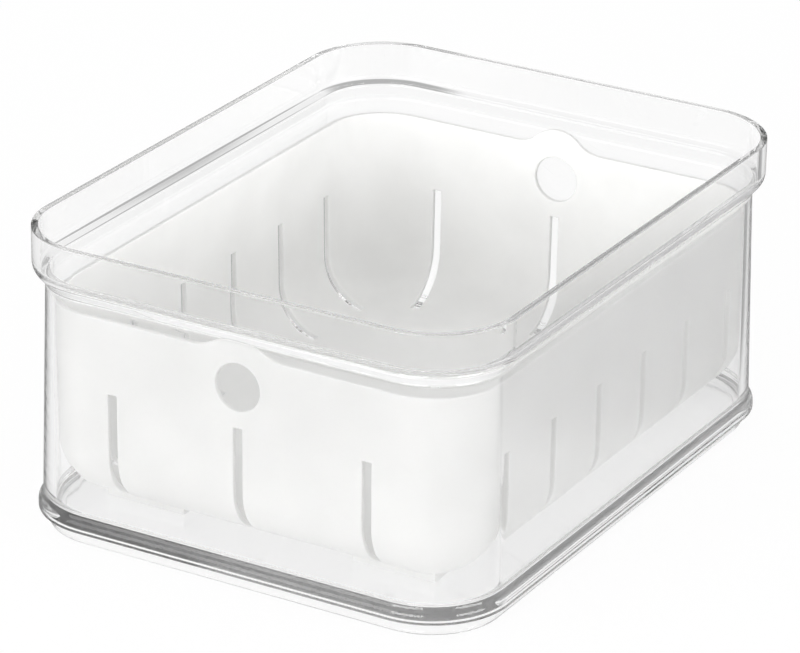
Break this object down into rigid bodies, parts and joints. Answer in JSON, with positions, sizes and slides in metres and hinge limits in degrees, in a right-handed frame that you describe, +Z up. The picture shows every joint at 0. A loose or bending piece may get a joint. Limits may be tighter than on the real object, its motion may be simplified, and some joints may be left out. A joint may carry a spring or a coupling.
{
  "type": "produce storage container",
  "caption": "Clear rounded-rectangular refrigerator bin with a stepped collar and nesting foot, holding a white slotted lift-out basket that keeps washed berries above the floor.",
  "frame": {"origin": "centre of the bin's foot, on the surface that it stands on", "axes": "+X across the bin's width, +Y along its length, +Z up"},
  "size_m": [0.16, 0.206, 0.096],
  "materials": {
    "clear_plastic": "clear, polished",
    "white_plastic": "satin"
  },
  "bodies": {
    "bin": {"outer_bin": "clear_plastic"},
    "basket": {"inner_basket": "white_plastic"}
  },
  "joints": [
    {"name": "basket_lift", "type": "slide", "parent": "bin", "child": "basket", "axis": [0, 0, 1], "range_m": [0, 0.1]}
  ]
}
